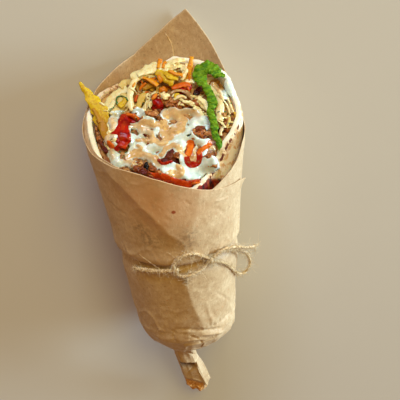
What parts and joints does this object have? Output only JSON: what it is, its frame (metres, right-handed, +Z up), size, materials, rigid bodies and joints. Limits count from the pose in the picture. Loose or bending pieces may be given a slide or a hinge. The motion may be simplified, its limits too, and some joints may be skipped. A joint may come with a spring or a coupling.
{
  "type": "chicken doner kebab",
  "caption": "Flatbread wrap with chicken, salad and sauces at its open end, in a brown paper cone tied with a twine bow; lies on its back.",
  "frame": {"origin": "on the floor under the middle of the body, at the flat strip that the wrap rests on", "axes": "+Y along the wrap towards its open mouth, +Z up out of the shown side, +X to the right of one who looks from the tail to the mouth"},
  "size_m": [0.0917, 0.263, 0.0846],
  "materials": {
    "paper": "matte brown kraft paper, wrinkled",
    "bread": "floury flatbread with toasted spots",
    "twine": "twisted jute twine with loose fibres",
    "filling": "moist mixed filling",
    "chicken": "roasted chicken with browned edges",
    "tomato": "wet tomato flesh and skin",
    "lettuce": "ruffled green leaf, pale at its rib",
    "pepper": "yellow pepper, glossy skin",
    "carrot": "raw carrot, finely shredded",
    "onion": "translucent onion with pale rings",
    "cabbage": "pale shredded cabbage",
    "garlic_sauce": "thin white garlic sauce, wet gloss",
    "chilli_sauce": "red chilli sauce, wet gloss"
  },
  "bodies": {
    "root": {"paper_wrap": "paper", "flatbread": "bread", "twine": "twine", "filling": "filling", "yellow_pepper_strip": "pepper", "yellow_pepper_slice": "pepper", "lettuce_leaf": "lettuce", "carrot_stick": "carrot", "carrot_shred_left": "carrot", "carrot_shred_back": "carrot", "cream_strip_back": "onion", "onion_ring": "onion", "cabbage_strip_back": "cabbage", "cabbage_strip_right": "cabbage", "cabbage_lump_left": "cabbage", "cabbage_lump_front_left": "cabbage", "tomato_wedge": "tomato", "tomato_slice_left": "tomato", "tomato_middle": "tomato", "tomato_back": "tomato", "chicken_strip_middle": "chicken", "chicken_piece_left": "chicken", "chicken_piece_front_left": "chicken", "chicken_piece_front": "chicken", "chicken_piece_sauced": "chicken", "chicken_piece_right": "chicken", "chicken_piece_low_right": "chicken", "chicken_piece_by_leaf": "chicken", "garlic_sauce": "garlic_sauce", "chilli_sauce": "chilli_sauce"}
  },
  "joints": []
}
